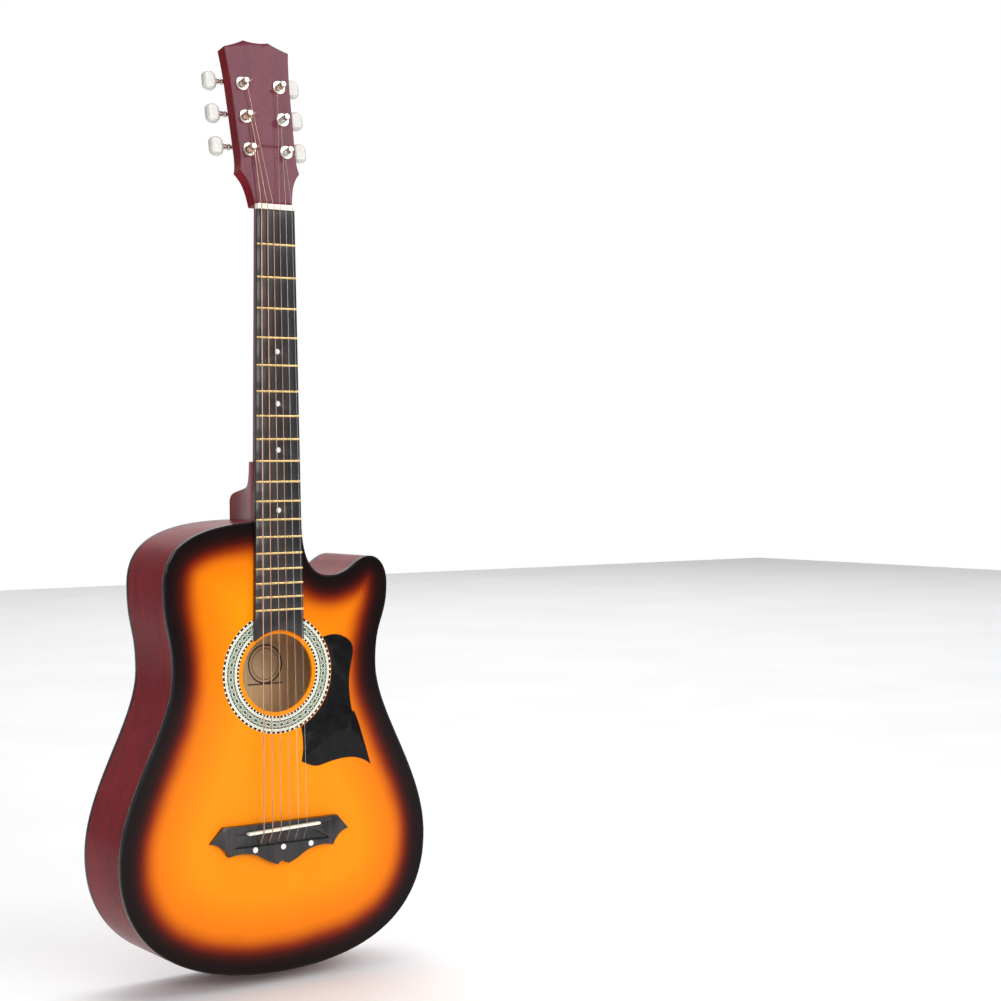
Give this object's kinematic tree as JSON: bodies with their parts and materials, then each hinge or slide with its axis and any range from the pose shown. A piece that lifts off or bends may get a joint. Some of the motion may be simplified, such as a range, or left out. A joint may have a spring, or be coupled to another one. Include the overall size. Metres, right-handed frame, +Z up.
{
  "type": "acoustic guitar",
  "caption": "Steel-string acoustic guitar with a cutaway body, sunburst top, bolted bat-wing bridge and open-geared tuners whose worms turn the string posts.",
  "frame": {"origin": "on the centre line at the nut's fretboard edge, in the plane of the soundboard's face, where a wall hanger's yoke holds the neck", "axes": "+Z up along the neck, +X to the treble side, +Y from the front to the back"},
  "size_m": [0.353, 0.1088, 0.9763],
  "materials": {
    "sunburst_top": "gloss lacquer over a sunburst",
    "red_lacquer": "dark red gloss lacquer",
    "black_binding": "gloss",
    "inner_wood": "bare",
    "inner_hardwood": "bare",
    "rosette_inlay": "inlay under gloss lacquer",
    "black_plastic": "gloss",
    "black_hardwood": "satin black",
    "bone": "polished",
    "steel": "zinc plated",
    "pearl": "pearl",
    "fret_brass": "polished",
    "head_lacquer": "gloss",
    "nickel": "bright plate",
    "paper": "matt paper",
    "plain_steel": "drawn wire",
    "wound_bronze": "bronze wound",
    "pearl_button": "pearl",
    "gear_brass": "machined"
  },
  "bodies": {
    "root": {"soundboard": "sunburst_top", "back_plate": "red_lacquer", "side_bass": "red_lacquer", "side_treble": "red_lacquer", "binding": "black_binding", "neck_block": "inner_wood", "tail_block": "inner_wood", "kerfed_linings": "inner_wood", "x_braces": "inner_wood", "top_braces": "inner_wood", "bridge_plate": "inner_hardwood", "back_braces": "inner_wood", "rosette": "rosette_inlay", "pickguard": "black_plastic", "bridge": "black_hardwood", "saddle": "bone", "bridge_bolts": "steel", "bridge_dots": "pearl", "neck": "red_lacquer", "fretboard": "black_hardwood", "frets": "fret_brass", "fret_dots": "pearl", "nut": "bone", "neck_bar": "steel", "headstock_veneer": "head_lacquer", "tuner_plates": "nickel", "tuner_screws": "nickel", "tuner_bushings": "nickel", "label": "paper", "strap_pin": "nickel", "string_1_e_high": "plain_steel", "string_2_b": "plain_steel", "string_3_g": "wound_bronze", "string_4_d": "wound_bronze", "string_5_a": "wound_bronze", "string_6_e_low": "wound_bronze"},
    "button_1": {"worm_shaft_1": "nickel", "tuner_button_1": "pearl_button"},
    "post_1": {"string_post_1": "nickel", "tuner_gear_1": "gear_brass"},
    "button_2": {"worm_shaft_2": "nickel", "tuner_button_2": "pearl_button"},
    "post_2": {"string_post_2": "nickel", "tuner_gear_2": "gear_brass"},
    "button_3": {"worm_shaft_3": "nickel", "tuner_button_3": "pearl_button"},
    "post_3": {"string_post_3": "nickel", "tuner_gear_3": "gear_brass"},
    "button_4": {"worm_shaft_4": "nickel", "tuner_button_4": "pearl_button"},
    "post_4": {"string_post_4": "nickel", "tuner_gear_4": "gear_brass"},
    "button_5": {"worm_shaft_5": "nickel", "tuner_button_5": "pearl_button"},
    "post_5": {"string_post_5": "nickel", "tuner_gear_5": "gear_brass"},
    "button_6": {"worm_shaft_6": "nickel", "tuner_button_6": "pearl_button"},
    "post_6": {"string_post_6": "nickel", "tuner_gear_6": "gear_brass"}
  },
  "joints": [
    {"name": "button_turn_1", "type": "hinge", "parent": "root", "child": "button_1", "pos_m": [0.0213, 0.03301, 0.06644], "axis": [1, 0, 0], "continuous": true},
    {"name": "post_turn_1", "type": "hinge", "parent": "root", "child": "post_1", "pos_m": [0.0213, 0.01146, 0.06223], "axis": [0, -0.9781, 0.2079], "continuous": true},
    {"name": "button_turn_2", "type": "hinge", "parent": "root", "child": "button_2", "pos_m": [0.0213, 0.04039, 0.10117], "axis": [1, 0, 0], "continuous": true},
    {"name": "post_turn_2", "type": "hinge", "parent": "root", "child": "post_2", "pos_m": [0.0213, 0.01884, 0.09696], "axis": [0, -0.9781, 0.2079], "continuous": true},
    {"name": "button_turn_3", "type": "hinge", "parent": "root", "child": "button_3", "pos_m": [0.0213, 0.04777, 0.13589], "axis": [1, 0, 0], "continuous": true},
    {"name": "post_turn_3", "type": "hinge", "parent": "root", "child": "post_3", "pos_m": [0.0213, 0.02622, 0.13168], "axis": [0, -0.9781, 0.2079], "continuous": true},
    {"name": "button_turn_4", "type": "hinge", "parent": "root", "child": "button_4", "pos_m": [-0.0213, 0.04777, 0.13589], "axis": [1, 0, 0], "continuous": true},
    {"name": "post_turn_4", "type": "hinge", "parent": "root", "child": "post_4", "pos_m": [-0.0213, 0.02622, 0.13168], "axis": [0, -0.9781, 0.2079], "continuous": true},
    {"name": "button_turn_5", "type": "hinge", "parent": "root", "child": "button_5", "pos_m": [-0.0213, 0.04039, 0.10117], "axis": [1, 0, 0], "continuous": true},
    {"name": "post_turn_5", "type": "hinge", "parent": "root", "child": "post_5", "pos_m": [-0.0213, 0.01884, 0.09696], "axis": [0, -0.9781, 0.2079], "continuous": true},
    {"name": "button_turn_6", "type": "hinge", "parent": "root", "child": "button_6", "pos_m": [-0.0213, 0.03301, 0.06644], "axis": [1, 0, 0], "continuous": true},
    {"name": "post_turn_6", "type": "hinge", "parent": "root", "child": "post_6", "pos_m": [-0.0213, 0.01146, 0.06223], "axis": [0, -0.9781, 0.2079], "continuous": true}
  ],
  "couplings": [
    {"joint": "post_turn_1", "follows": "button_turn_1", "ratio": 0.071429},
    {"joint": "post_turn_2", "follows": "button_turn_2", "ratio": 0.071429},
    {"joint": "post_turn_3", "follows": "button_turn_3", "ratio": 0.071429},
    {"joint": "post_turn_4", "follows": "button_turn_4", "ratio": 0.071429},
    {"joint": "post_turn_5", "follows": "button_turn_5", "ratio": 0.071429},
    {"joint": "post_turn_6", "follows": "button_turn_6", "ratio": 0.071429}
  ]
}
